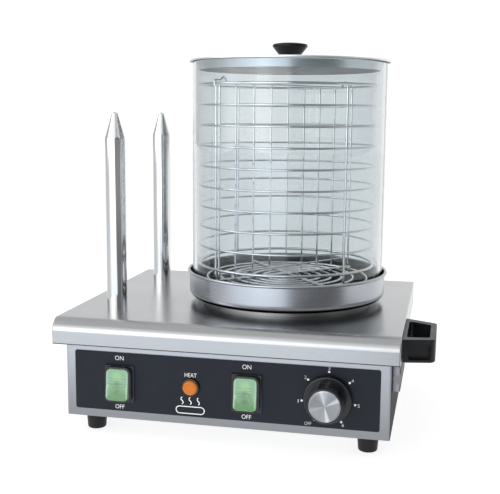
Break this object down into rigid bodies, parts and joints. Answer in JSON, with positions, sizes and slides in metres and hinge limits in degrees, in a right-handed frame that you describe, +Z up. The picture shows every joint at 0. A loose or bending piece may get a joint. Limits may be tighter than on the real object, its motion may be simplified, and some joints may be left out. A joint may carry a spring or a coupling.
{
  "type": "hot dog steamer with bun spikes",
  "caption": "Countertop hot dog steamer: steel base with control panel, heated bun spikes, and a glass cylinder with a wire basket and lid on a water pan.",
  "frame": {"origin": "middle of the whole object's footprint box, on the surface it stands on", "axes": "+Z up, +X towards the carry handle (right, seen from the front), +Y towards the back"},
  "size_m": [0.3594, 0.2956, 0.3847],
  "materials": {
    "cover_steel": "satin brushed",
    "box_steel": "satin brushed",
    "galvanised_steel": "dull zinc",
    "panel_black": "semi-gloss print",
    "switch_black": "gloss moulding",
    "rocker_green": "translucent tint",
    "brass": "plain",
    "lamp_bezel": "polished",
    "lamp_amber": "translucent tint",
    "clear_glass": "clear",
    "moulded_nylon": "moulded",
    "thermostat_case": "moulded",
    "zinc_screw": "zinc plated",
    "copper": "plain copper",
    "knob_black": "satin moulding",
    "knob_aluminium": "turned face",
    "plate_aluminium": "machined",
    "element_sheath": "dark oxidised",
    "ceramic_fibre": "fibrous",
    "spike_polished": "polished",
    "handle_black": "fine moulded texture",
    "foot_rubber": "matt",
    "gland_nylon": "moulded",
    "pan_steel": "satin, turned",
    "cylinder_glass": "clear",
    "wire_steel": "electropolished wire",
    "lid_steel": "satin, turned",
    "lid_knob_black": "gloss phenolic moulding"
  },
  "bodies": {
    "base": {"base_housing": "box_steel", "bottom_plate": "galvanised_steel", "top_cover": "cover_steel", "control_panel": "panel_black", "switch_housing_left": "switch_black", "switch_housing_right": "switch_black", "switch_terminals": "brass", "lamp_holder": "lamp_bezel", "lamp_lens": "lamp_amber", "lamp_bulb": "clear_glass", "lamp_nut": "moulded_nylon", "thermostat_body": "thermostat_case", "thermostat_screws": "zinc_screw", "capillary_bulb": "copper", "heating_plate": "plate_aluminium", "heating_element": "element_sheath", "element_clamp": "galvanised_steel", "element_bolt": "zinc_screw", "thermal_cutout": "thermostat_case", "heat_shield": "galvanised_steel", "insulation_pad": "ceramic_fibre", "bun_spike_front": "spike_polished", "bun_spike_rear": "spike_polished", "spike_heaters": "element_sheath", "spike_nuts": "zinc_screw", "spike_washers": "zinc_screw", "carry_handle": "handle_black", "handle_screws": "zinc_screw", "feet": "foot_rubber", "foot_screws": "zinc_screw", "cover_nuts": "zinc_screw", "bottom_screws": "zinc_screw", "cable_gland": "gland_nylon", "gland_nut": "gland_nylon", "terminal_block": "moulded_nylon", "earth_stud": "brass"},
    "knob": {"control_knob": "knob_black", "knob_cap": "knob_aluminium", "thermostat_shaft": "zinc_screw"},
    "rocker_left": {"switch_rocker_left": "rocker_green"},
    "rocker_right": {"switch_rocker_right": "rocker_green"},
    "pan": {"water_pan": "pan_steel"},
    "glass": {"glass_cylinder": "cylinder_glass"},
    "trivet": {"trivet": "wire_steel", "trivet_legs": "wire_steel"},
    "basket": {"basket": "wire_steel"},
    "divider": {"divider": "wire_steel"},
    "lid": {"lid": "lid_steel", "lid_knob": "lid_knob_black", "lid_screw": "zinc_screw"}
  },
  "joints": [
    {"name": "knob_turn", "type": "hinge", "parent": "base", "child": "knob", "pos_m": [0.08505, -0.13725, 0.0545], "axis": [0, 1, 0], "range_deg": [0, 300]},
    {"name": "rocker_left_tilt", "type": "hinge", "parent": "base", "child": "rocker_left", "pos_m": [-0.11695, -0.12655, 0.0539], "axis": [1, 0, 0], "range_deg": [0, 13]},
    {"name": "rocker_right_tilt", "type": "hinge", "parent": "base", "child": "rocker_right", "pos_m": [0.00865, -0.12655, 0.0539], "axis": [1, 0, 0], "range_deg": [0, 13]},
    {"name": "pan_lift", "type": "slide", "parent": "base", "child": "pan", "axis": [0, 0, 1], "range_m": [0, 0.05]},
    {"name": "glass_lift", "type": "slide", "parent": "pan", "child": "glass", "axis": [0, 0, 1], "range_m": [0, 0.05]},
    {"name": "trivet_lift", "type": "slide", "parent": "glass", "child": "trivet", "axis": [0, 0, 1], "range_m": [0, 0.23]},
    {"name": "basket_lift", "type": "slide", "parent": "trivet", "child": "basket", "axis": [0, 0, 1], "range_m": [0, 0.23]},
    {"name": "divider_lift", "type": "slide", "parent": "basket", "child": "divider", "axis": [0, 0, 1], "range_m": [0, 0.22]},
    {"name": "lid_lift", "type": "slide", "parent": "divider", "child": "lid", "axis": [0, 0, 1], "range_m": [0, 0.06]}
  ]
}
